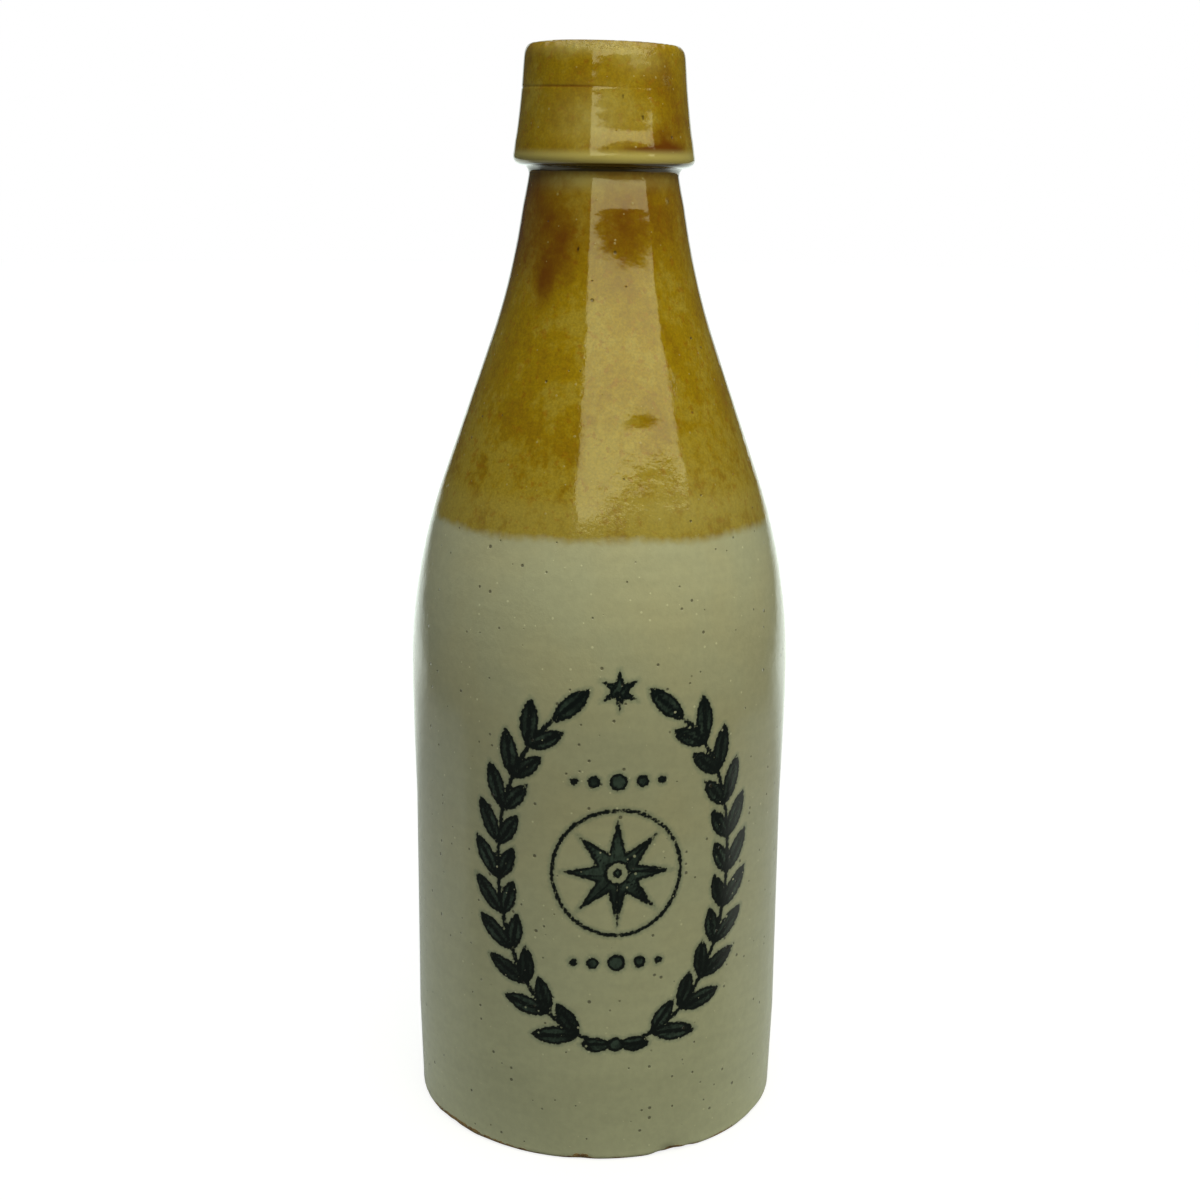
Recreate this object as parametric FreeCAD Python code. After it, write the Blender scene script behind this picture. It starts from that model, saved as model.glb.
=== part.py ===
import FreeCAD, Part
import math
import os

# A two-tone glazed stoneware bottle for ginger beer, thrown and turned as one piece.
# Lengths are in millimetres. Z is the axis it was turned on, and z = 0 is the flat base.

# Outside of the body, from the bevelled heel up to where the shoulder's slope meets the hip
base_radius = 35.55
heel_bevel = 1.2
foot_length = 17.8
body_radius = 36.1
body_length = 44.5
waist_rounding = 65.0
hip_radius = 37.24
hip_length = 43.1
shoulder_rounding = 117.0

# Sloping shoulder, and the neck that tapers to the sharp corner under the collar
neck_radius = 17.43
shoulder_length = 56.3
neck_rounding = 128.0
throat_radius = 13.88
neck_length = 21.3

# Collar that the cork was tied or wired under, with its steeper lower band
collar_radius = 17.1
undercut_rise = 0.9
collar_rounding = 1.3
band_radius = 15.97
band_length = 7.0
band_rounding = 30.0
rim_radius = 14.61
rim_rounding = 1.6

# Fine line turned round the collar, and the collar's lengths below and above it
collar_length = 6.1
lip_length = 8.0
groove_width = 0.7
groove_depth = 0.22

# Inside: a wall of even thickness behind the body and the shoulder, and a bore for the cork
wall = 6.3
floor_thickness = 8.0
floor_bevel = 5.5
inner_shoulder_rounding = 28.0
bore_radius = 9.5
bore_rounding = 60.0
mouth_bevel = 1.5

# The most of a straight side that the arcs at its two ends may take together
side_share = 0.98

body_top = foot_length + body_length
hip_top = body_top + hip_length
shoulder_top = hip_top + shoulder_length
neck_top = shoulder_top + neck_length
collar_bottom = neck_top + undercut_rise
band_top = collar_bottom + band_length
groove_height = band_top + collar_length
height = groove_height + lip_length


def place(corner):
    # A corner's radius and height as a point of the section, which stands in the XZ plane
    return FreeCAD.Vector(corner[0], 0, corner[1])


def direction(start, end):
    return end.sub(start).normalize()


def radius_at(low, high, level):
    # The radius, at a height, of the straight line through two points of the section
    return low.x + (high.x - low.x) * (level - low.z) / (high.z - low.z)


def height_at(start, along, radius):
    # The height at which a line from a point, along a direction, reaches a radius
    return start.z + along.z * (radius - start.x) / along.x


def outside_corners():
    # Base, body, hip, shoulder, neck, undercut and collar, as radius, height and rounding
    corners = [
        (0, 0, 0),
        (base_radius - heel_bevel, 0, 0),
        (base_radius, heel_bevel, 0),
        (body_radius, foot_length, 0),
        (body_radius, body_top, waist_rounding),
        (hip_radius, hip_top, shoulder_rounding),
        (neck_radius, shoulder_top, neck_rounding),
        (throat_radius, neck_top, 0),
        (collar_radius, collar_bottom, collar_rounding),
        (band_radius, band_top, band_rounding),
    ]
    band = place((band_radius, band_top))
    rim = place((rim_radius, height))
    for edge, depth in ((-groove_width / 2, 0), (0, groove_depth), (groove_width / 2, 0)):
        level = groove_height + edge
        corners.append((radius_at(band, rim, level) - depth, level, 0))
    corners.append((rim_radius, height, rim_rounding))
    return corners


def inside_corners():
    # Down the bore, along a line one wall behind the shoulder, and down the body to the floor
    hip = place((hip_radius, hip_top))
    slope = direction(hip, place((neck_radius, shoulder_top)))
    behind = hip.add(FreeCAD.Vector(-slope.z, 0, slope.x) * wall)
    inner_radius = body_radius - wall
    return [
        (bore_radius + mouth_bevel, height, 0),
        (bore_radius, height - mouth_bevel, 0),
        (bore_radius, height_at(behind, slope, bore_radius), bore_rounding),
        (inner_radius, height_at(behind, slope, inner_radius), inner_shoulder_rounding),
        (inner_radius, floor_thickness + floor_bevel, 0),
        (inner_radius - floor_bevel, floor_thickness, 0),
        (0, floor_thickness, 0),
    ]


def arc_reaches(sides, roundings):
    # How far from its corner each arc starts; arcs that would meet on a side share its length
    wanted = [0.0]
    for before, after, rounding in zip(sides, sides[1:], roundings[1:-1]):
        wanted.append(rounding * math.tan(before.getAngle(after) / 2))
    wanted.append(0.0)
    shares = []
    for side, start, end in zip(sides, wanted, wanted[1:]):
        room = side_share * side.Length
        shares.append(room / max(room, start + end))
    reaches = [0.0]
    for reach, before, after in zip(wanted[1:-1], shares, shares[1:]):
        reaches.append(reach * min(before, after))
    return reaches + [0.0]


def rounded_edges(corners):
    # Straight sides, joined at the rounded corners by arcs that are tangent to both
    points = [place(corner) for corner in corners]
    sides = [end.sub(start) for start, end in zip(points, points[1:])]
    reaches = arc_reaches(sides, [corner[2] for corner in corners])
    edges = []
    last = points[0]
    for index in range(1, len(points) - 1):
        corner = points[index]
        before = direction(points[index - 1], corner)
        after = direction(corner, points[index + 1])
        reach = reaches[index]
        start = corner.sub(before * reach)
        edges.append(Part.makeLine(last, start))
        last = corner.add(after * reach)
        if reach > 0:
            rise = reach * math.tan(before.getAngle(after) / 4)
            middle = corner.add(direction(before, after) * rise)
            edges.append(Part.Arc(start, middle, last).toShape())
    edges.append(Part.makeLine(last, points[-1]))
    return edges


def turned_bottle():
    corners = outside_corners() + inside_corners()
    edges = rounded_edges(corners)
    edges.append(Part.makeLine(place(corners[-1]), place(corners[0])))
    section = Part.Face(Part.Wire(edges))
    return section.revolve(FreeCAD.Vector(0, 0, 0), FreeCAD.Vector(0, 0, 1), 360)


def main():
    os.makedirs("parts", exist_ok=True)
    bottle = turned_bottle()
    bottle.exportStep("parts/bottle.step")
    box = bottle.optimalBoundingBox()
    print("bottle", "valid", bottle.isValid(), "solids", len(bottle.Solids))
    print("volume", round(bottle.Volume / 1000, 2), "cubic centimetres")
    print("across", round(box.XLength, 2), "high", round(box.ZLength, 2))


main()
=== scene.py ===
import math

import bpy
import numpy as np
from mathutils import Matrix


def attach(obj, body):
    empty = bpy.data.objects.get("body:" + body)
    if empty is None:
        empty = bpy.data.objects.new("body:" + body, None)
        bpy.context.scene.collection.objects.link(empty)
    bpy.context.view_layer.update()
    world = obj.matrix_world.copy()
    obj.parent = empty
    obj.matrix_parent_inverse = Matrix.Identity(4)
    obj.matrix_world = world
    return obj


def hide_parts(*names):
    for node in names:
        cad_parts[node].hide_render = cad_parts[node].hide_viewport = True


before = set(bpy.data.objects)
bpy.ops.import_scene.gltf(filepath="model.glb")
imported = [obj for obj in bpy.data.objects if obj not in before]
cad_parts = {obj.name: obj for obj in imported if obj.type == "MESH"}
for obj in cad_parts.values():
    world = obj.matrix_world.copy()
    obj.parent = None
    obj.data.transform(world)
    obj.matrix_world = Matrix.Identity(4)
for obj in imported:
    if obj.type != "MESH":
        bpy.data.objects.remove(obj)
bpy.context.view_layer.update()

# A two-tone glazed stoneware bottle. Its own lengths are in mm here and become metres in its mesh.
# Lengths of the camera and the studio are in metres. Angles round the bottle are degrees from the
# front, and grow to the right as the camera sees it.
mm = 0.001

# Camera
camera = {
    "place": (0.0, -0.35096, 0.18504),
    "tiltDown": 13.523,  # degrees
    "lean": 0.54,  # degrees that the picture leans to the right
    "lens": 55.466,
    "sensor": 36.0,
    "clipStart": 0.01,
}


def addCamera():
    data = bpy.data.cameras.new("camera")
    data.lens = camera["lens"]
    data.sensor_width = camera["sensor"]
    data.clip_start = camera["clipStart"]
    made = bpy.data.objects.new("camera", data)
    tilt = Matrix.Rotation(math.radians(90 - camera["tiltDown"]), 4, "X")
    lean = Matrix.Rotation(math.radians(camera["lean"]), 4, "Z")
    made.matrix_world = Matrix.Translation(camera["place"]) @ tilt @ lean
    bpy.context.collection.objects.link(made)
    bpy.context.scene.camera = made
    bpy.context.scene.view_settings.view_transform = "Standard"


addCamera()
print("camera placed")

# The bottle's section: radius, height, rounding and the rows' spacing in mm
bottleShape = {
    "outside": [
        (0.0, 0.0, 0.0, 2.5),
        (32.5, 0.0, 0.0, 1.2),
        (35.51, 0.0, 1.0, 0.28),
        (35.6, 2.6, 0.0, 0.5),
        (36.1, 17.8, 0.0, 0.5),
        (36.1, 62.3, 65.0, 0.5),
        (37.24, 105.4, 117.0, 0.62),
        (17.43, 161.7, 128.0, 0.95),
        (13.88, 182.9, 1.5, 0.25),
        (17.1, 183.6, 1.7, 0.25),
        (15.97, 190.9, 75.0, 0.5),
        (15.478, 196.0, 0.0, 0.5),
        (15.43, 196.5, 0.0, 0.12),
        (15.333, 197.5, 0.0, 0.12),
        (15.256, 198.3, 0.0, 0.5),
        (14.61, 205.0, 1.6, 0.32),
    ],
    "inside": [
        (9.5, 205.0, 1.5, 0.4),
        (9.5, 199.0, 0.0, 1.6),
        (9.5, 165.25, 60.0, 3.0),
        (29.8, 107.6, 28.0, 4.0),
        (29.8, 8.0, 7.0, 4.0),
        (0.0, 8.0, 0.0, 6.0),
    ],
    "arcSteps": 20,
    "denseFrom": -44.0,  # degrees, the stretch of columns that carries the print
    "denseTo": 56.0,
    "denseStep": 0.8,
    "looseStep": 4.6,
    "easing": 12.0,  # degrees over which the columns spread out
    "bakeRows": (16.0, 100.0, 2.0),  # heights between which a row has this share of the bake map
    "bakeMargin": 0.003,
}


def roundedLine(corners, steps):
    # Straight sides joined by arcs that are tangent to both. An arc starts rounding * tan(turn / 2)
    # before its corner and runs as start + rounding * (sin(t) * before + (1 - cos(t)) * across).
    points = corners[:, :2]
    sides = np.diff(points, axis=0)
    ways = sides / np.linalg.norm(sides, axis=1)[:, None]
    before = ways[:-1]
    after = ways[1:]
    turn = np.arccos(np.clip((before * after).sum(axis=1), -1, 1))
    rounding = corners[1:-1, 2]
    start = points[1:-1] - before * (rounding * np.tan(turn / 2))[:, None]
    across = after - before * np.cos(turn)[:, None]
    across /= np.maximum(np.linalg.norm(across, axis=1), 1e-9)[:, None]
    t = turn[:, None, None] * np.linspace(0, 1, steps)[None, :, None]
    run = np.sin(t) * before[:, None] + (1 - np.cos(t)) * across[:, None]
    arcs = start[:, None] + rounding[:, None, None] * run
    line = np.concatenate([points[:1], arcs.reshape(-1, 2), points[-1:]])
    spacing = np.concatenate([corners[:1, 3], np.repeat(corners[1:-1, 3], steps), corners[-1:, 3]])
    return line, spacing


def spreadOut(along, spacing):
    # Places whose distance apart follows the spacing: equal steps of the running sum of 1 / spacing
    steps = np.diff(along) * (1 / spacing[1:] + 1 / spacing[:-1]) / 2
    count = np.concatenate([[0], np.cumsum(steps)])
    return np.interp(np.linspace(0, count[-1], round(count[-1]) + 1), count, along)


def bottleRows():
    # Radius and height of each row of vertices, the way outwards, and whether it is inside. The way
    # outwards is the section's direction turned by a right angle: (dz, -dr) for a step (dr, dz).
    corners = np.array(bottleShape["outside"] + bottleShape["inside"])
    line, spacing = roundedLine(corners, bottleShape["arcSteps"])
    along = np.concatenate([[0], np.cumsum(np.linalg.norm(np.diff(line, axis=0), axis=1))])
    kept = np.concatenate([[True], np.diff(along) > 1e-7])
    line, spacing, along = line[kept], spacing[kept], along[kept]
    places = spreadOut(along, spacing)
    radius = np.interp(places, along, line[:, 0])
    height = np.interp(places, along, line[:, 1])
    way = np.stack([np.gradient(radius, places), np.gradient(height, places)])
    way /= np.linalg.norm(way, axis=0)
    flatTop = along[line[:, 1] > line[:, 1].max() - 0.01]
    inner = places > (flatTop[0] + flatTop[-1]) / 2
    return radius, height, way[1], -way[0], inner


def bottleColumns():
    # Angles round the bottle from the back, by the right side, to the back again
    low, high = bottleShape["denseFrom"], bottleShape["denseTo"]
    dense, loose = bottleShape["denseStep"], bottleShape["looseStep"]
    easing = bottleShape["easing"]
    stops = np.array([-180, low - easing, low, high, high + easing, 180.0])
    return spreadOut(stops, np.array([loose, loose, dense, dense, loose, loose]))


def ripple(angle, height, waves, count=14):
    # A sum of waves cos(m * angle + k * height + shift) with whole m, so that it closes at the back.
    # The waves are a seed, the most of m, and the most of k in radians for each mm.
    seed, around, rise = waves
    draw = np.random.default_rng(seed)
    m = draw.integers(-around, around + 1, count)
    k = draw.uniform(-rise, rise, count)
    shift = draw.uniform(0, 2 * math.pi, count)
    total = sum(np.cos(m[i] * angle + k[i] * height + shift[i]) for i in range(count))
    return total / math.sqrt(count / 2)


def belt(height, level, half):
    # A round-topped belt round the bottle: exp(-distance squared), measured in its half height
    return np.exp(-(((height - level) / half) ** 2))


def spot(angle, height, at, wide, tall):
    # A round-topped mark: exp(-distance squared), measured in the mark's own width and height
    turn = (angle - math.radians(at[0]) + math.pi) % (2 * math.pi) - math.pi
    return np.exp(-((turn / math.radians(wide)) ** 2) - ((height - at[1]) / tall) ** 2)


# What the wheel, the kiln and wear did to the shape, all of it inward from the turned outline
unevenness = {
    "wobble": (0.05, 0.4),  # depth in mm, and the share of it that changes from place to place
    "wobbleWaves": (3, 4, 0.06),
    "rings": (0.003, 2.1, 1.4),  # depth and pitch in mm, and how far in radians they wander
    "ringWaves": (5, 2, 0.2),
    "rimWear": (204.3, 0.9, 0.16),  # height, half height and depth
    "rimFrom": 11.5,  # radius past which the rim is worn
    "wearWaves": (8, 30, 1.5),
    "groove": (197.0, 0.22, 0.09),  # height, half height and depth of the line round the collar
    "grooveEnd": (-8.0, 6.0),  # degrees, to the right of which the line fades, and how fast it does
    "grooveLeft": 0.05,  # the share of its depth that is left there
    "throat": (175.5, 180.8, 0.14),  # between these heights the neck draws in a little more
    "throatWithin": (184.0, 15.0),  # below this height and inside this radius
    "waists": [  # the collar's slight waists: height, half height and depth
        (196.0, 5.0, 0.12),
        (189.5, 1.3, 0.035),
        (185.6, 1.3, 0.05),
    ],
    "collarDrop": (160.0, 25.0, 0.45),  # the tilt: from this height, over this length, by this much
    "dents": [  # angle and height, then half width in degrees, half height and depth in mm
        (16.0, 137.6, 7.0, 2.4, 0.19),
        (-6.0, 127.0, 7.0, 2.6, 0.06),
        (24.0, 150.0, 6.0, 3.0, 0.05),
    ],
    "hollow": (31.0, 0.5),  # radius and depth of the hollow under the base
    "heelFrom": 33.0,  # radius past which the heel is chipped
    "heelEvenTo": 2.0,  # height up to which the unevenness fades in
    "chipWaves": (11, 60, 3.0),
    "chips": [  # angle and height, then half width in degrees, half height and depth in mm
        (25.5, 0.6, 4.2, 1.3, 0.75),
        (21.0, 0.2, 2.6, 0.7, 0.35),
        (-4.4, 0.4, 3.4, 0.8, 0.22),
        (31.0, 0.1, 2.2, 0.6, 0.3),
        (-52.0, 0.2, 9.0, 0.7, 0.3),
        (-33.0, 0.0, 6.0, 0.5, 0.25),
        (62.0, 0.1, 7.0, 0.6, 0.3),
        (150.0, 0.2, 9.0, 0.8, 0.35),
        (-130.0, 0.1, 7.0, 0.6, 0.3),
    ],
}


def collarDepth(angle, radius, height):
    # The rim's wear, the groove, the throat and the waists, added up in mm. The groove's share is a
    # half plus half the tanh of the distance to its end, and the throat's is 3s^2 - 2s^3.
    level, half, cut = unevenness["rimWear"]
    wear = belt(height, level, half) * (radius > unevenness["rimFrom"])
    depth = cut * wear * (0.9 + 0.6 * np.abs(ripple(angle, height, unevenness["wearWaves"])))
    level, half, cut = unevenness["groove"]
    end, speed = unevenness["grooveEnd"]
    shown = 0.5 + 0.5 * np.tanh((math.radians(end) - np.sin(angle / 2) * 2) * speed)
    left = unevenness["grooveLeft"]
    depth = depth + cut * belt(height, level, half) * (left + (1 - left) * shown)
    low, high, cut = unevenness["throat"]
    share = np.clip((height - low) / (high - low), 0, 1)
    top, wide = unevenness["throatWithin"]
    depth = depth + cut * share**2 * (3 - 2 * share) * (height < top) * (radius < wide)
    for level, half, cut in unevenness["waists"]:
        depth = depth + cut * belt(height, level, half)
    return depth


def bottleDepth(angle, radius, height, inner):
    # How far each vertex lies inside the turned outline, in mm: the sum of the wobble, the turning
    # rings, the collar's own depths, the dents and the chips, with the hollow alone under the base
    deep, share = unevenness["wobble"]
    depth = deep * (1 + share * ripple(angle, height, unevenness["wobbleWaves"]))
    deep, pitch, wander = unevenness["rings"]
    phase = 2 * math.pi * height / pitch + wander * ripple(angle, height, unevenness["ringWaves"])
    depth = depth + deep * (1 + np.cos(phase)) + collarDepth(angle, radius, height)
    for dent in unevenness["dents"]:
        depth = depth + dent[4] * spot(angle, height, dent[:2], dent[2], dent[3])
    depth = np.where(inner, 0.0, depth) * np.clip(height / unevenness["heelEvenTo"], 0, 1)
    wide, deep = unevenness["hollow"]
    base = (height < 0.02) & (radius < unevenness["heelFrom"])
    depth = np.where(base, deep * np.clip(1 - (radius / wide) ** 4, 0, 1), depth)
    heel = (radius > unevenness["heelFrom"]) & ~inner
    ragged = 0.8 + 0.25 * ripple(angle, height, unevenness["chipWaves"])
    for chip in unevenness["chips"]:
        depth = depth + chip[4] * spot(angle, height, chip[:2], chip[2], chip[3]) * ragged * heel
    return np.maximum(depth, 0)


# The print: two leafy sprays round a star in a ring, with rows of beads. Sizes in mm.
printed = {
    "angle": 5.75,
    "height": 58.2,
    "roundRadius": 36.3,
    "stem": (23.0, 33.6),  # half width and half height of the ellipse that the stems follow
    "stemThickness": 0.42,
    "stemFrom": 8.0,  # degrees from straight down
    "leavesFrom": 17.0,
    "stemTo": 148.0,
    "stemTaper": 0.5,  # mm for each degree past an end
    "leafPairs": 11,
    "leaf": (9.6, 3.6),
    "innerLeaf": (0.8, 0.9),  # its length and width as shares of the outer leaf's
    "leafSpread": 29.0,
    "vein": 0.12,
    "star": (10.5, 4.2, 8),  # radius of the tips and of the valleys, and the number of points
    "starHole": 1.9,
    "dot": 0.9,
    "ring": (1.6, 0.36),  # gap to the star's tips, and half thickness
    "beadRow": 17.6,
    "beads": [(0.0, 1.7), (4.4, 1.2), (8.0, 0.8)],  # distance from the middle, and radius
    "knotHeight": -34.0,
    "knotLeaf": (3.6, 6.2, 3.0),  # distance of its middle from the tie, length and width
    "tie": 1.5,
    "topHeight": 34.6,
    "topStar": (3.9, 1.6, 6),
    "rows": (12.0, 105.0),  # the heights between which the ink is worked out
    "halfAngle": 1.3,  # radians to each side
    "far": 4.0,  # the distance that stands for no ink near by
}


def leafDistance(x, y, length, width):
    # Two equal arcs that meet in points at both ends: the distance to the further arc's circle
    half = length / 2
    rise = width / 2
    radius = (half * half + rise * rise) / (2 * rise)
    body = np.hypot(x, np.abs(y) + radius - rise) - radius
    return np.where(np.abs(x) > half, np.hypot(np.abs(x) - half, y), body)


def engraved(distance, across):
    # Inside a shape the distance never falls far beside its middle line, so that line prints dark
    return np.maximum(distance, -printed["vein"] - np.abs(across))


def turnedLeaves(x, y, places, ways, length, width):
    # The nearest of many leaves, each of which starts at its place and points its own way
    dx = x[..., None] - places[:, 0]
    dy = y[..., None] - places[:, 1]
    along = dx * np.cos(ways) + dy * np.sin(ways) - length / 2
    across = dy * np.cos(ways) - dx * np.sin(ways)
    return engraved(leafDistance(along, across, length, width), across).min(axis=-1)


def starDistance(x, y, outer, inner, points):
    # The angle is folded into half a point, then the distance is to the line from tip to valley.
    # One half of each point is solid, and the other is only outlined, as on a compass card.
    fold = math.pi / points
    angle = (np.arctan2(x, y) + fold) % (2 * fold) - fold
    across = np.hypot(x, y) * np.sin(np.abs(angle))
    along = np.hypot(x, y) * np.cos(angle)
    side = np.array([inner * math.cos(fold) - outer, inner * math.sin(fold)])
    side /= np.hypot(*side)
    distance = (along - outer) * side[1] - across * side[0]
    distance = np.maximum(distance, along - outer)
    return np.where(angle > 0, distance, engraved(distance, across))


def stemPlaces():
    # Where the leaves grow and which way the stem points there, at even steps of its length
    wide, tall = printed["stem"]
    fine = np.radians(np.linspace(printed["leavesFrom"], printed["stemTo"], 200))
    run = np.hypot(wide * np.diff(np.sin(fine)), tall * np.diff(np.cos(fine)))
    run = np.concatenate([[0], np.cumsum(run)])
    steps = np.interp(np.linspace(0, run[-1], printed["leafPairs"]), run, fine)
    places = np.stack([wide * np.sin(steps), -tall * np.cos(steps)], axis=1)
    return places, np.arctan2(tall * np.sin(steps), wide * np.cos(steps))


def sprayDistance(x, y):
    # Both sprays at once: the picture is folded on its middle line, and the right one is measured.
    # The stem's distance is (ratio - 1) / slope, where the ratio is 1 on the ellipse. The leaves
    # point up the stem, one to each side, and one stands at its tip.
    x = np.abs(x)
    wide, tall = printed["stem"]
    ratio = np.hypot(x / wide, y / tall)
    slope = np.hypot(x / wide**2, y / tall**2) / np.maximum(ratio, 1e-6)
    turn = np.degrees(np.arctan2(x / wide, -y / tall))
    past = np.maximum(printed["stemFrom"] - turn, turn - printed["stemTo"]) * printed["stemTaper"]
    stem = np.maximum(np.abs(ratio - 1) / slope - printed["stemThickness"], past)
    places, ways = stemPlaces()
    spread = math.radians(printed["leafSpread"])
    length, width = printed["leaf"]
    shorter, narrower = printed["innerLeaf"]
    outer = turnedLeaves(x, y, places[:-1], ways[:-1] - spread, length, width)
    inner = turnedLeaves(x, y, places[:-1], ways[:-1] + spread, length * shorter, width * narrower)
    tip = turnedLeaves(x, y, places[-1:], ways[-1:], length, width)
    return np.minimum.reduce([stem, outer, inner, tip])


def inkDistance(angle, height):
    # How far each vertex is from the nearest ink, in mm, and below 0 inside a stroke
    x = (angle - math.radians(printed["angle"])) * printed["roundRadius"]
    y = height - printed["height"]
    away = np.hypot(x, y)
    star = np.maximum(starDistance(x, y, *printed["star"]), printed["starHole"] - away)
    dot = away - printed["dot"]
    gap, half = printed["ring"]
    ring = np.abs(away - printed["star"][0] - gap) - half
    row = np.abs(y) - printed["beadRow"]
    beads = [np.hypot(np.abs(x) - place, row) - size for place, size in printed["beads"]]
    up = y - printed["knotHeight"]
    aside, length, width = printed["knotLeaf"]
    knot = engraved(leafDistance(np.abs(x) - aside, up, length, width), up)
    tie = np.hypot(x, up) - printed["tie"]
    top = starDistance(x, y - printed["topHeight"], *printed["topStar"])
    return np.minimum.reduce([sprayDistance(x, y), star, dot, ring, *beads, knot, tie, top])


# Where the amber glaze ran thick and brown, lies thin, holds a speck of iron or is dull, and where
# the finish has a pale crust or is bare clay. Each mark is an angle, a height, a half width in
# degrees, a half height in mm, and a strength.
marks = {
    "brown": [
        (-66, 179.0, 17, 3.2, 0.2),
        (-47, 175.0, 15, 4.2, 0.25),
        (-26, 170.5, 11, 5.0, 0.35),
        (-36, 165.5, 12, 5.5, 0.25),
        (-37, 161.5, 7, 4.0, 0.45),
        (-54, 167.0, 14, 6.0, 0.3),
        (-82, 172.0, 20, 8.0, 0.4),
        (58, 191.5, 20, 5.5, 0.35),
        (41, 188.2, 10, 2.4, 0.55),
        (45, 186.5, 18, 1.2, 0.7),
        (30, 186.4, 15, 0.45, 1.1),
        (47, 199.5, 8, 3.0, 0.3),
        (10, 172.0, 13, 6.0, 0.3),
        (16.5, 139.4, 5, 1.4, 0.25),
        (-28, 197.0, 40, 0.22, 0.55),
        (150, 197.0, 60, 0.22, 0.4),
        (150, 172.0, 22, 7.0, 0.6),
        (-150, 190.0, 18, 3.0, 0.4),
        (118, 150.0, 12, 9.0, 0.3),
    ],
    "thin": [
        (-6, 191.3, 26, 5.0, 0.4),
        (28, 201.4, 17, 2.2, 0.4),
        (-30, 180.8, 40, 1.4, 0.8),
        (35, 180.8, 30, 1.3, 0.5),
        (-20, 203.6, 34, 1.2, 0.45),
        (30, 125.0, 26, 6.0, 0.25),
        (160, 195.0, 40, 6.0, 0.3),
    ],
    "iron": [
        (12.0, 195.4, 1.0, 0.34, 1.0),
        (25.5, 191.9, 1.1, 0.36, 1.0),
        (24.3, 192.4, 0.9, 0.3, 0.6),
        (-16.0, 168.9, 0.9, 0.4, 1.0),
        (-12.0, 195.0, 0.9, 0.4, 0.5),
        (2.0, 186.6, 1.2, 0.35, 0.6),
    ],
    "dull": [
        (22.0, 201.5, 11, 2.0, 0.7),
        (20.0, 127.0, 6, 2.0, 0.5),
    ],
    "pale": [
        (33.5, 145.3, 1.4, 1.7, 0.7),
        (50.8, 177.3, 2.0, 0.5, 1.0),
        (47.0, 198.5, 4.5, 1.2, 0.5),
        (-16, 204.4, 16, 0.9, 0.8),
        (10, 204.2, 15, 0.8, 0.7),
        (32, 203.6, 6, 0.8, 0.5),
        (120, 204.3, 30, 0.8, 0.6),
        (-120, 204.3, 25, 0.7, 0.6),
    ],
    "clay": [
        (25.5, 0.4, 4.6, 1.0, 1.0),
        (-4.4, 0.9, 3.2, 0.7, 0.9),
        (-50, 1.0, 15, 0.7, 1.0),
        (-30, 0.4, 9, 0.7, 0.7),
        (45, 0.3, 10, 0.7, 0.8),
        (110, 0.5, 25, 0.9, 0.9),
        (-120, 0.5, 30, 0.9, 0.9),
        (170, 0.7, 14, 1.2, 1.0),
    ],
}


def markField(name, angle, height):
    # The round-topped marks of one kind, each times its strength, added up at each vertex
    total = np.zeros(np.broadcast(angle, height).shape)
    for mark in marks[name]:
        total += mark[4] * spot(angle, height, mark[:2], mark[2], mark[3])
    return total


def bakeCorners(u, v):
    # The place on the bake map of each corner of each face: its column's u and its row's v. The tip
    # of a fan's face is in the middle of its column.
    low = np.stack(np.meshgrid(v[1:-2], u[:-1], indexing="ij"), axis=-1)[..., ::-1]
    du = np.broadcast_to(np.diff(u), low.shape[:2])
    dv = np.broadcast_to(np.diff(v[1:-1])[:, None], low.shape[:2])
    zero = np.zeros_like(du)
    shifts = [(zero, zero), (du, zero), (du, dv), (zero, dv)]
    quads = np.stack([low + np.stack(shift, axis=-1) for shift in shifts], axis=2)
    left, right = u[:-1], u[1:]
    middle = (left + right) / 2
    whole = np.ones(len(middle))
    bottom = [(middle, v[0] * whole), (right, v[1] * whole), (left, v[1] * whole)]
    top = [(left, v[-2] * whole), (right, v[-2] * whole), (middle, v[-1] * whole)]
    fans = [np.stack([np.stack(corner, axis=-1) for corner in fan], axis=1) for fan in (bottom, top)]
    return np.concatenate([part.reshape(-1, 2) for part in (quads, *fans)])


def bakeMap(edges, height, inner):
    # u is half the angle's share of the turn plus half the column's share of their count, and v
    # counts the rows, with more room for those that carry the print
    u = (edges - edges[0]) / 720 + np.arange(len(edges)) / (2 * (len(edges) - 1))
    low, high, more = bottleShape["bakeRows"]
    weight = np.where((height > low) & (height < high) & ~inner, more, 1.0)
    v = np.concatenate([[0], np.cumsum((weight[1:] + weight[:-1]) / 2)])
    margin = bottleShape["bakeMargin"]
    return margin + (1 - 2 * margin) * u, margin + (1 - 2 * margin) * v / v[-1]


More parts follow.
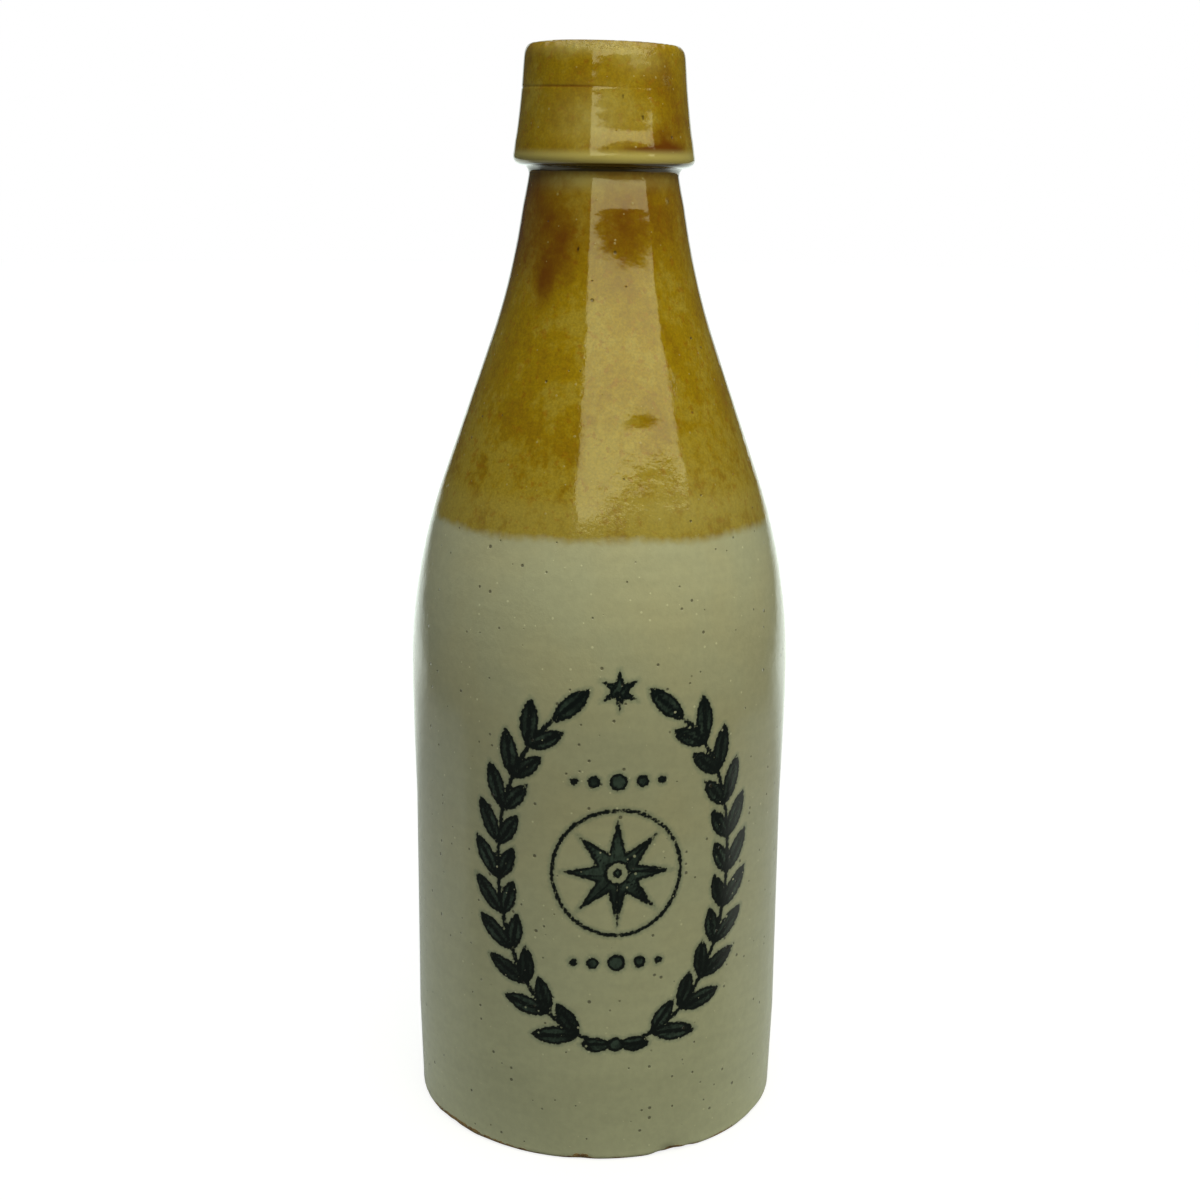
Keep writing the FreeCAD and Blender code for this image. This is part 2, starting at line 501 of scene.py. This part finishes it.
def buildMesh(name, grid, fields, places):
    # A closed skin from rows of vertices: quads between the rows, and a fan at each end. The first
    # and last rows are poles, so one vertex stands for each.
    rows, columns = grid.shape[:2]
    points = np.concatenate([grid[:1, 0], grid[1:-1].reshape(-1, 3), grid[-1:, 0]])
    index = 1 + np.arange((rows - 2) * columns).reshape(rows - 2, columns)
    ahead = np.roll(index, -1, axis=1)
    quads = np.stack([index[:-1], ahead[:-1], ahead[1:], index[1:]], axis=-1).reshape(-1, 4)
    bottom = np.stack([np.zeros(columns, int), ahead[0], index[0]], axis=-1)
    top = np.stack([index[-1], ahead[-1], np.full(columns, len(points) - 1)], axis=-1)
    mesh = bpy.data.meshes.new(name)
    mesh.from_pydata(points.tolist(), [], quads.tolist() + bottom.tolist() + top.tolist())
    mesh.shade_smooth()
    for field, values in fields.items():
        flat = np.concatenate([values[:1, 0], values[1:-1].ravel(), values[-1:, 0]])
        made = mesh.attributes.new(field, "FLOAT", "POINT")
        made.data.foreach_set("value", flat.astype(np.float32))
    mesh.uv_layers.new(name="OFBake").data.foreach_set("uv", places.ravel().astype(np.float32))
    return mesh


def inkField(angle, height, inner):
    # The distance to the ink on the front of the body, and the far one everywhere else
    low, high = printed["rows"]
    body = ~inner & (height > low) & (height < high)
    near = body & (np.abs(angle) < printed["halfAngle"])
    return np.where(near, np.minimum(inkDistance(angle, height), printed["far"]), printed["far"])


def addBottle():
    # The section's rows turned round the axis: each vertex is (r * sin(a), -r * cos(a), z), moved
    # in by its depth. The collar sinks by drop * s^2 * (1 + sin(a)) / 2, where s runs from 0 to 1
    # over the length below it.
    radius, height, outR, outZ, inner = bottleRows()
    edges = bottleColumns()
    places = bakeCorners(*bakeMap(edges, height, inner))
    angle = np.radians(edges[:-1])[None, :]
    radius, height, outR, outZ, inner = (row[:, None] for row in (radius, height, outR, outZ, inner))
    depth = bottleDepth(angle, radius, height, inner)
    r = np.maximum(radius - outR * depth, 0)
    z = height - outZ * depth
    low, length, drop = unevenness["collarDrop"]
    z = z - drop * np.clip((z - low) / length, 0, 1) ** 2 * (1 + np.sin(angle)) / 2
    grid = np.stack([r * np.sin(angle), -r * np.cos(angle), z], axis=-1) * mm
    fields = {"ink": inkField(angle, height, inner)}
    for name in marks:
        fields[name] = markField(name, angle, height) * ~inner
    fields["inside"] = inner + 0.0 * angle
    mesh = buildMesh("stonewareBottle", grid, fields, places)
    made = bpy.data.objects.new("stonewareBottle", mesh)
    bpy.context.collection.objects.link(made)
    print("bottle", len(radius), "rows", len(edges) - 1, "columns", len(mesh.polygons), "faces")
    return made


# Shader nodes
def addNode(tree, kind, values=None, **settings):
    # A node with its settings. A value is a socket to link, or what the input itself holds.
    made = tree.nodes.new(kind)
    for name, setting in settings.items():
        setattr(made, name, setting)
    for name, value in (values or {}).items():
        if isinstance(value, bpy.types.NodeSocket):
            tree.links.new(value, made.inputs[name])
        else:
            made.inputs[name].default_value = value
    return made


def mathNode(tree, operation, first, second=0.0, third=0.0):
    values = {0: first, 1: second, 2: third}
    return addNode(tree, "ShaderNodeMath", values, operation=operation).outputs[0]


def times(tree, first, second):
    return mathNode(tree, "MULTIPLY", first, second)


def plus(tree, first, second):
    return mathNode(tree, "ADD", first, second)


def most(tree, first, second):
    return mathNode(tree, "MAXIMUM", first, second)


def fade(tree, value, low, high, start=0.0, end=1.0):
    # A smooth step from start at low to end at high
    values = {"Value": value, "From Min": low, "From Max": high, "To Min": start, "To Max": end}
    return addNode(tree, "ShaderNodeMapRange", values, interpolation_type="SMOOTHSTEP").outputs[0]


def blendColours(tree, share, first, second, blend="MIX"):
    values = {0: share, 6: first, 7: second}
    settings = {"data_type": "RGBA", "blend_type": blend}
    return addNode(tree, "ShaderNodeMix", values, **settings).outputs[2]


def stretched(tree, where, scale):
    return addNode(tree, "ShaderNodeMapping", {"Vector": where, "Scale": scale}).outputs[0]


def grain(tree, where, name):
    # Soft noise from 0 to 1, of the size, detail and roughness that the name stands for
    size, detail, roughness = grains[name]
    values = {"Vector": where, "Scale": 1 / (size * mm), "Detail": detail, "Roughness": roughness}
    return addNode(tree, "ShaderNodeTexNoise", values).outputs[0]


def specks(tree, where, name, share):
    # Round spots: one in each cell of size mm, 0.6 to 1.6 times radius mm, in that share of the cells
    size, radius = spots[name]
    cells = addNode(tree, "ShaderNodeTexVoronoi", {"Vector": where, "Scale": 1 / (size * mm)})
    chance = addNode(tree, "ShaderNodeSeparateColor", {0: cells.outputs["Color"]})
    kept = mathNode(tree, "LESS_THAN", chance.outputs[0], share)
    reach = mathNode(tree, "MULTIPLY_ADD", chance.outputs[1], radius / size, 0.6 * radius / size)
    near = mathNode(tree, "DIVIDE", cells.outputs["Distance"], reach)
    return times(tree, kept, fade(tree, near, 0.55, 1.0, 1.0, 0.0))


def attribute(tree, name):
    return addNode(tree, "ShaderNodeAttribute", attribute_name=name).outputs["Fac"]


# The size of each noise's patches in mm, its detail and its roughness
grains = {
    "creamClouds": (16.0, 3.0, 0.5),
    "creamPaintedFill": (30.0, 3.0, 0.5),
    "creamTurned": (2.2, 3.0, 0.5),
    "creamFine": (1.4, 3.0, 0.6),
    "amberClouds": (8.0, 3.0, 0.55),
    "amberPatches": (1.6, 4.0, 0.6),
    "amberRust": (1.5, 4.0, 0.65),
    "amberFine": (0.45, 3.0, 0.6),
    "amberStreaks": (0.8, 2.0, 0.5),
    "inkEdge": (0.7, 3.0, 0.6),
    "inkWorn": (7.0, 3.0, 0.6),
    "inkStreaks": (0.8, 3.0, 0.6),
    "dipWave": (22.0, 2.0, 0.5),
    "dipBumps": (1.8, 1.0, 0.5),
    "crust": (0.7, 4.0, 0.7),
    "clay": (1.1, 4.0, 0.6),
    "clayEdge": (3.0, 4.0, 0.6),
    "gloss": (1.2, 4.0, 0.6),
    "slowWaves": (9.0, 2.0, 0.5),
    "fineWaves": (2.6, 2.0, 0.5),
    "peel": (0.7, 3.0, 0.6),
    "peelPatches": (12.0, 2.0, 0.5),
}

# The size of each pattern's cells and the radius of its spots in mm
spots = {
    "dark": (2.0, 0.27),
    "light": (1.7, 0.2),
    "inkGaps": (2.2, 0.24),
}

# Glaze. Colours are linear, sizes in mm.
glaze = {
    "cream": (0.52, 0.514, 0.372, 1.0),
    "creamWarm": (0.54, 0.514, 0.352, 1.0),
    # A lighter cream for the foot, which is painted light from below
    "creamPaintedFill": (0.66, 0.664, 0.475, 1.0),
    "amber": (0.36, 0.226, 0.002, 1.0),
    "amberLight": (0.42, 0.3, 0.032, 1.0),
    "amberDeep": (0.29, 0.16, 0.002, 1.0),
    "amberOrange": (0.33, 0.145, 0.002, 1.0),
    "amberBrown": (0.165, 0.05, 0.001, 1.0),
    # Pale thin amber, also used as a painted reflection over the collar's foot
    "amberThinAndReflection": (0.55, 0.47, 0.17, 1.0),
    # Dark pooled glaze, also used as painted shade under the collar
    "pooledAndShaded": (0.05, 0.032, 0.006, 1.0),
    "speck": (0.05, 0.04, 0.025, 1.0),
    "iron": (0.03, 0.012, 0.003, 1.0),
    # A pale glint colour painted on the light specks of the cream, and the crust's tone on the cream
    "pitAndPaintedGlint": (0.92, 0.9, 0.68, 1.0),
    # Worn gold of the rubbed rim and crust, and on the amber the painted glint of the light specks
    "worn": (0.5, 0.41, 0.17, 1.0),
    "ink": (0.004, 0.008, 0.0075, 1.0),
    "inkStarved": (0.055, 0.085, 0.072, 1.0),
    "inkHalo": (0.2, 0.26, 0.2, 1.0),
    "clay": (0.46, 0.3, 0.13, 1.0),
    "clayDark": (0.2, 0.1, 0.045, 1.0),
    "paintedFillFrom": 85.0,  # the cream grows lighter from this height down to the foot, which is painted light from below, a little greyer in tint
    "creamPaintedTopLight": (96.0, 112.0, 1.0, 1.07),  # and grows lighter between these heights, by this factor, which is painted light from above
    "dipHeight": 118.9,
    "dipSoftness": 1.1,
    "dipThin": (128.0, 124.5, 0.0, 0.17),  # heights over the edge where the amber turns paler
    "lowAmber": (150.0, 120.0, 0.0, 0.13),  # and lighter patches grow more common
    "neckBrown": (152.0, 176.0),  # the amber is browner between these heights
    "collarFoot": 183.5,
    "darkShare": (0.4, 0.1),  # the share of cells with a dark speck, on the cream and on the amber
    "lightShare": 0.34,
    "inkGapShare": 0.25,
    "roughness": (0.03, 0.09),
    "refraction": 1.52,
}

# Relief of the surface in mm
relief = {
    "slowWaves": 0.1,
    "fineWaves": 0.035,
    "peel": (0.016, 0.07),
    "peelFrom": (78.0, 96.0),  # the peel is coarsest between these pairs of heights
    "peelTo": (138.0, 120.0),
    "smoother": (150.0, 166.0, 1.0, 0.4),  # the neck and the collar are smoother by this factor
    "dip": 0.05,
    "darkSpeck": -0.09,
    "lightSpeck": 0.018,
    "crust": 0.12,
    "clay": 0.25,
}


def creamColour(tree, where, height):
    # Warm clouds and faint bands from turning, with painted light: lighter and a little greyer
    # towards the foot as if lit from below, and lighter up to the dip as if lit from above
    clouds = fade(tree, grain(tree, where, "creamClouds"), 0.3, 0.7)
    colour = blendColours(tree, clouds, glaze["cream"], glaze["creamWarm"])
    patches = fade(tree, grain(tree, where, "creamPaintedFill"), 0.25, 0.75, 0.85, 1.0)
    # Painted light from below: lighter towards the foot, in patches, a little greyer in tint
    paintedFill = times(tree, fade(tree, height, glaze["paintedFillFrom"], 0), patches)
    colour = blendColours(tree, paintedFill, colour, glaze["creamPaintedFill"])
    level = stretched(tree, where, (0.2, 0.2, 1))
    bands = fade(tree, grain(tree, level, "creamTurned"), 0.25, 0.75, 0.97, 1.03)
    fine = fade(tree, grain(tree, where, "creamFine"), 0.25, 0.75, 0.96, 1.04)
    # Painted light from above: lighter up towards the dip, by this factor
    lighter = times(tree, fine, fade(tree, height, *glaze["creamPaintedTopLight"]))
    return blendColours(tree, 1.0, colour, times(tree, bands, lighter), "MULTIPLY")


def amberPatches(tree, where, height, tone):
    # Deep where the tone is low, light where it is high, rusty in spots, with fine upright streaks
    deep = fade(tree, tone, 0.5, 0.39, 0, 0.7)
    colour = blendColours(tree, deep, glaze["amber"], glaze["amberDeep"])
    light = plus(tree, tone, fade(tree, height, *glaze["lowAmber"]))
    colour = blendColours(tree, fade(tree, light, 0.5, 0.65, 0, 0.85), colour, glaze["amberLight"])
    rusty = fade(tree, grain(tree, where, "amberRust"), 0.55, 0.66, 0, 0.6)
    colour = blendColours(tree, rusty, colour, glaze["amberOrange"])
    fine = fade(tree, grain(tree, where, "amberFine"), 0.25, 0.75, 0.83, 1.17)
    upright = stretched(tree, where, (1, 1, 0.15))
    streaks = fade(tree, grain(tree, upright, "amberStreaks"), 0.25, 0.75, 0.97, 1.03)
    return blendColours(tree, 1.0, colour, times(tree, fine, streaks), "MULTIPLY")


def amberColour(tree, where, height):
    clouds = grain(tree, stretched(tree, where, (1, 1, 0.8)), "amberClouds")
    patches = grain(tree, stretched(tree, where, (1, 1, 0.9)), "amberPatches")
    tone = plus(tree, times(tree, patches, 0.4), times(tree, clouds, 0.6))
    colour = amberPatches(tree, where, height, tone)

    # Paler where it is marked thin and over the dip's edge
    thin = times(tree, attribute(tree, "thin"), fade(tree, tone, 0.35, 0.65, 0.7, 1.3))
    uneven = plus(tree, height, times(tree, tone, 2))
    thin = plus(tree, thin, fade(tree, uneven, *glaze["dipThin"]))
    colour = blendColours(tree, thin, colour, glaze["amberThinAndReflection"])

    # Browner in the marked runs and up the neck
    foot = glaze["collarFoot"]
    neck = fade(tree, height, *glaze["neckBrown"])
    neck = times(tree, neck, fade(tree, height, foot + 2, foot, 0.1, 0.46))
    brown = plus(tree, attribute(tree, "brown"), neck)
    brown = times(tree, brown, fade(tree, tone, 0.35, 0.65, 1.2, 0.85))
    colour = blendColours(tree, fade(tree, brown, 0.0, 1.15), colour, glaze["amberBrown"])

    # Thin and pale over the collar's foot, which there is also a painted reflection of the pale
    # floor, and thick and dark in the corner below it, which is pooled glaze and painted shade in the
    # recess
    over = fade(tree, height, foot + 3, foot + 1.4)
    over = times(tree, over, fade(tree, height, foot, foot + 0.3))
    # The pale band is thin glaze and a painted reflection of the pale floor
    colour = blendColours(tree, times(tree, over, 0.8), colour, glaze["amberThinAndReflection"])
    # The dark band is pooled glaze and painted shade in the recess under the collar
    poolAndShade = fade(tree, height, foot - 1.4, foot - 1.1)
    poolAndShade = times(tree, poolAndShade, fade(tree, height, foot + 0.3, foot))
    return blendColours(tree, times(tree, poolAndShade, 0.9), colour, glaze["pooledAndShaded"])


def inkShades(tree, where, colour):
    # The print over the glaze: a soft halo, a rough dark edge, and a starved middle in broad strokes
    wobble = fade(tree, grain(tree, where, "inkEdge"), 0.2, 0.8, -0.2, 0.2)
    away = plus(tree, attribute(tree, "ink"), wobble)
    halo = times(tree, fade(tree, away, 0.9, 0.0), 0.45)
    colour = blendColours(tree, halo, colour, glaze["inkHalo"])
    worn = fade(tree, grain(tree, where, "inkWorn"), 0.36, 0.6, 0.25, 1.0)
    upright = stretched(tree, where, (1, 1, 0.5))
    streaky = fade(tree, grain(tree, upright, "inkStreaks"), 0.25, 0.6, 0.3, 1.0)
    starved = times(tree, fade(tree, away, -0.38, -0.75), times(tree, worn, streaky))
    shade = blendColours(tree, starved, glaze["ink"], glaze["inkStarved"])
    held = mathNode(tree, "SUBTRACT", 1.0, specks(tree, where, "inkGaps", glaze["inkGapShare"]))
    inked = times(tree, fade(tree, away, 0.12, -0.12), held)
    return blendColours(tree, inked, colour, shade)


def dipCover(tree, where, height):
    # The amber dip ends in a soft line that waves a little: 0 on the cream, 1 on the amber
    wave = fade(tree, grain(tree, where, "dipWave"), 0.2, 0.8, -0.6, 0.6)
    bumps = fade(tree, grain(tree, where, "dipBumps"), 0.2, 0.8, -0.3, 0.3)
    edge = plus(tree, height, plus(tree, wave, bumps))
    middle, soft = glaze["dipHeight"], glaze["dipSoftness"]
    return fade(tree, edge, middle - soft, middle + soft)


def bareClay(tree, where, height, rough, inside):
    # 1 under the base, up to a ragged line, and where a chip's rough strength passes a half
    ragged = fade(tree, grain(tree, where, "clayEdge"), 0.3, 0.7, 0.0, 0.7)
    under = fade(tree, mathNode(tree, "SUBTRACT", height, ragged), 0.35, 0.1)
    under = times(tree, under, mathNode(tree, "SUBTRACT", 1.0, inside))
    chipped = times(tree, attribute(tree, "clay"), fade(tree, rough, 0.2, 0.8, 0.5, 1.5))
    return most(tree, fade(tree, chipped, 0.45, 0.6), under)


def glazeRoughness(tree, where, rough, bare, crust):
    # Glossy, but duller where it is marked so, on the bare clay and on the crust
    gloss = fade(tree, grain(tree, where, "gloss"), 0.3, 0.75, *glaze["roughness"])
    dull = times(tree, attribute(tree, "dull"), fade(tree, rough, 0.3, 0.7, 0.6, 1.3))
    gloss = most(tree, gloss, fade(tree, dull, 0.3, 0.9, 0.0, 0.5))
    gloss = most(tree, gloss, times(tree, bare, 0.85))
    return most(tree, gloss, times(tree, crust, 0.5))


def glazeRelief(tree, where, height, layers):
    # Slow and fine waves and orange peel in the glaze, and what each layer adds, summed in mm
    hip = times(tree, fade(tree, height, *relief["peelFrom"]), fade(tree, height, *relief["peelTo"]))
    coarse = times(tree, hip, grain(tree, where, "peelPatches"))
    smoother = fade(tree, height, *relief["smoother"])
    peel = times(tree, fade(tree, coarse, 0.25, 0.7, *relief["peel"]), smoother)
    total = times(tree, grain(tree, where, "slowWaves"), relief["slowWaves"])
    fine = times(tree, smoother, relief["fineWaves"])
    total = plus(tree, total, times(tree, grain(tree, where, "fineWaves"), fine))
    total = plus(tree, total, times(tree, grain(tree, where, "peel"), peel))
    for name, layer in layers.items():
        total = plus(tree, total, times(tree, layer, relief[name]))
    return total


def glazedStoneware():
    material = bpy.data.materials.new("glazedStoneware")
    material.use_nodes = True
    tree = material.node_tree
    shader = tree.nodes["Principled BSDF"]
    where = addNode(tree, "ShaderNodeTexCoord").outputs["Object"]
    height = addNode(tree, "ShaderNodeSeparateXYZ", {0: where}).outputs[2]
    height = times(tree, height, 1 / mm)
    rough = grain(tree, where, "clay")

    # The layers: the dip, which covers the inside as well, specks, crust and bare clay
    inside = attribute(tree, "inside")
    amber = most(tree, dipCover(tree, where, height), inside)
    dark = specks(tree, where, "dark", fade(tree, amber, 0, 1, *glaze["darkShare"]))
    # The light specks are small raised bumps, and their pale colour is a painted glint
    light = specks(tree, where, "light", glaze["lightShare"])
    crust = fade(tree, grain(tree, where, "crust"), 0.42, 0.62)
    crust = times(tree, attribute(tree, "pale"), crust)
    bare = bareClay(tree, where, height, rough, inside)

    colour = inkShades(tree, where, creamColour(tree, where, height))
    colour = blendColours(tree, amber, colour, amberColour(tree, where, height))
    colour = blendColours(tree, times(tree, dark, 0.65), colour, glaze["speck"])
    iron = fade(tree, attribute(tree, "iron"), 0.2, 0.8, 0, 0.9)
    colour = blendColours(tree, iron, colour, glaze["iron"])
    crustAndGlintTone = blendColours(tree, amber, glaze["pitAndPaintedGlint"], glaze["worn"])
    # The light specks take the pale tone as a painted glint, and the crust takes the same tone
    colour = blendColours(tree, times(tree, light, 0.5), colour, crustAndGlintTone)
    colour = blendColours(tree, times(tree, crust, 0.5), colour, crustAndGlintTone)
    clayTone = blendColours(tree, fade(tree, rough, 0.35, 0.65), glaze["clayDark"], glaze["clay"])
    colour = blendColours(tree, bare, colour, clayTone)
    tree.links.new(colour, shader.inputs["Base Color"])

    gloss = glazeRoughness(tree, where, rough, bare, crust)
    tree.links.new(gloss, shader.inputs["Roughness"])
    layers = {"dip": amber, "darkSpeck": dark, "lightSpeck": light, "crust": crust}
    layers["clay"] = times(tree, bare, rough)
    raised = glazeRelief(tree, where, height, layers)
    bump = addNode(tree, "ShaderNodeBump", {"Height": raised, "Distance": mm, "Strength": 1.0})
    tree.links.new(bump.outputs[0], shader.inputs["Normal"])
    shader.inputs["IOR"].default_value = glaze["refraction"]
    return material


bottle = addBottle()
bottle.data.materials.append(glazedStoneware())
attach(bottle, "root")
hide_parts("bottle")
print("bottle glazed")

# Studio: a pale floor and surround. What lights the bottle is a window panel close by on the right,
# a bright ceiling, and a strip of white paper that runs under the bottle and is brightly lit behind
# it. Lengths are in metres.
studio = {
    "floorRadius": 3.0,
    "floorRings": 23,
    "floorColumns": 96,
    "floorShade": 0.3,  # how much of the floor's paleness the light and the shadows make
    "floorGlow": 0.83,
    "floorRoughness": 0.9,
    "floorSheen": 0.1,
    "paperHalfWidth": 0.28,
    "paperSoftness": 0.08,
    "paperFront": -0.03,
    "paperFrontSoftness": 0.03,
    "paperBounce": 0.65,
    "tableBounce": 0.13,
    "paperGlow": (0.14, 0.3, 0.0, 1.05),  # it grows between these distances behind the bottle
    "paperColour": (0.9, 1.0, 0.93, 1.0),
    "sweepWidth": (0.25, 0.34),  # half width of what glows, and its growth for each metre back
    "sweepSoftness": 0.004,
    "surround": 0.06,
    "backdrop": 0.9,
    "backdropEdge": (0.93, 0.945),  # cosines of the angle from straight behind the bottle
    "ceiling": (0.6, 0.9, 0.0, 1.3),  # it grows between these sines of the angle up
    "surroundColour": (0.92, 1.0, 0.96, 1.0),
    "seenColour": (1.0, 1.0, 1.0, 1.0),
    "windowAngle": 24.0,  # degrees to the right of the camera
    "windowLow": 0.278,
    "windowHigh": 0.6,
    "windowDistance": 0.3,
    "windowWidth": 0.54,
    "windowBrightness": 2.9,
    "windowColour": (1.0, 0.97, 0.57),
}


def paperGlow(tree, back, off):
    # Light from the paper behind the bottle, in a strip that widens as it runs back
    near, growth = studio["sweepWidth"]
    reach = mathNode(tree, "MULTIPLY_ADD", back, growth, near)
    soft = studio["sweepSoftness"]
    strip = fade(tree, mathNode(tree, "SUBTRACT", off, reach), -soft, soft, 1, 0)
    return times(tree, fade(tree, back, *studio["paperGlow"]), strip)


def paperBounce(tree, back, off):
    # How pale the floor is where light bounces from it: white paper on a dim table
    half, soft = studio["paperHalfWidth"], studio["paperSoftness"]
    aside = fade(tree, off, half - soft, half + soft, 1, 0)
    edge, soft = studio["paperFront"], studio["paperFrontSoftness"]
    paper = times(tree, aside, fade(tree, back, edge - soft, edge + soft))
    return fade(tree, paper, 0, 1, studio["tableBounce"], studio["paperBounce"])


def floorMaterial():
    # The camera sees an even pale floor. Other rays meet white paper on a dim table.
    material = bpy.data.materials.new("paleFloor")
    material.use_nodes = True
    tree = material.node_tree
    shader = tree.nodes["Principled BSDF"]
    seen = addNode(tree, "ShaderNodeLightPath").outputs["Is Camera Ray"]
    where = addNode(tree, "ShaderNodeTexCoord").outputs["Object"]
    parts = addNode(tree, "ShaderNodeSeparateXYZ", {0: where})
    back = parts.outputs[1]
    off = mathNode(tree, "ABSOLUTE", parts.outputs[0])
    bounce = {0: seen, 3: paperBounce(tree, back, off), 4: studio["floorShade"]}
    pale = addNode(tree, "ShaderNodeMapRange", bounce)
    tree.links.new(pale.outputs[0], shader.inputs["Base Color"])
    glow = {0: seen, 3: paperGlow(tree, back, off), 4: studio["floorGlow"]}
    light = addNode(tree, "ShaderNodeMapRange", glow)
    tree.links.new(light.outputs[0], shader.inputs["Emission Strength"])
    tint = blendColours(tree, seen, studio["paperColour"], studio["seenColour"])
    tree.links.new(tint, shader.inputs["Emission Color"])
    shader.inputs["Roughness"].default_value = studio["floorRoughness"]
    shader.inputs["Specular IOR Level"].default_value = studio["floorSheen"]
    return material


def addFloor():
    # A flat disc: radius times cosine and sine of the angle, in rings from the middle out
    rings, columns = studio["floorRings"], studio["floorColumns"]
    ring = np.linspace(0, 1, rings + 1)[:, None] ** 2 * studio["floorRadius"]
    angle = np.linspace(0, 2 * math.pi, columns, endpoint=False)[None, :]
    grid = np.stack([ring * np.cos(angle), ring * np.sin(angle), 0 * ring * angle], axis=-1)
    points = np.concatenate([grid[:1, 0], grid[1:].reshape(-1, 3)])
    index = 1 + np.arange(rings * columns).reshape(rings, columns)
    ahead = np.roll(index, -1, axis=1)
    quads = np.stack([index[:-1], index[1:], ahead[1:], ahead[:-1]], axis=-1).reshape(-1, 4)
    fan = np.stack([np.zeros(columns, int), index[0], ahead[0]], axis=-1)
    mesh = bpy.data.meshes.new("paleFloor")
    mesh.from_pydata(points.tolist(), [], quads.tolist() + fan.tolist())
    mesh.materials.append(floorMaterial())
    floor = bpy.data.objects.new("paleFloor", mesh)
    bpy.context.collection.objects.link(floor)


def addSurround():
    # Dim all round, bright on the backdrop straight behind the bottle, and bright overhead. The
    # camera sees it white.
    world = bpy.data.worlds.new("surround")
    world.use_nodes = True
    tree = world.node_tree
    shader = tree.nodes["Background"]
    way = addNode(tree, "ShaderNodeTexCoord").outputs["Generated"]
    parts = addNode(tree, "ShaderNodeSeparateXYZ", {0: way})
    behind = fade(tree, parts.outputs[1], *studio["backdropEdge"])
    light = fade(tree, behind, 0, 1, studio["surround"], studio["backdrop"])
    light = most(tree, light, fade(tree, parts.outputs[2], *studio["ceiling"]))
    seen = addNode(tree, "ShaderNodeLightPath").outputs["Is Camera Ray"]
    tree.links.new(most(tree, light, seen), shader.inputs["Strength"])
    colour = blendColours(tree, seen, studio["surroundColour"], studio["seenColour"])
    tree.links.new(colour, shader.inputs["Color"])
    bpy.context.scene.world = world


def addWindow():
    # A panel that faces the bottle, turned about its axis, with its lower edge above the shoulder
    distance = studio["windowDistance"]
    turn = math.radians(studio["windowAngle"])
    data = bpy.data.lights.new("window", "AREA")
    data.shape = "RECTANGLE"
    data.size = studio["windowWidth"]
    data.size_y = studio["windowHigh"] - studio["windowLow"]
    data.energy = studio["windowBrightness"] * math.pi * data.size * data.size_y
    data.color = studio["windowColour"]
    made = bpy.data.objects.new("window", data)
    middle = (studio["windowLow"] + studio["windowHigh"]) / 2
    place = Matrix.Translation((distance * math.sin(turn), -distance * math.cos(turn), middle))
    upright = Matrix.Rotation(turn, 4, "Z") @ Matrix.Rotation(math.pi / 2, 4, "X")
    made.matrix_world = place @ upright
    made.visible_camera = False
    bpy.context.collection.objects.link(made)


addFloor()
addSurround()
addWindow()
print("studio lit")
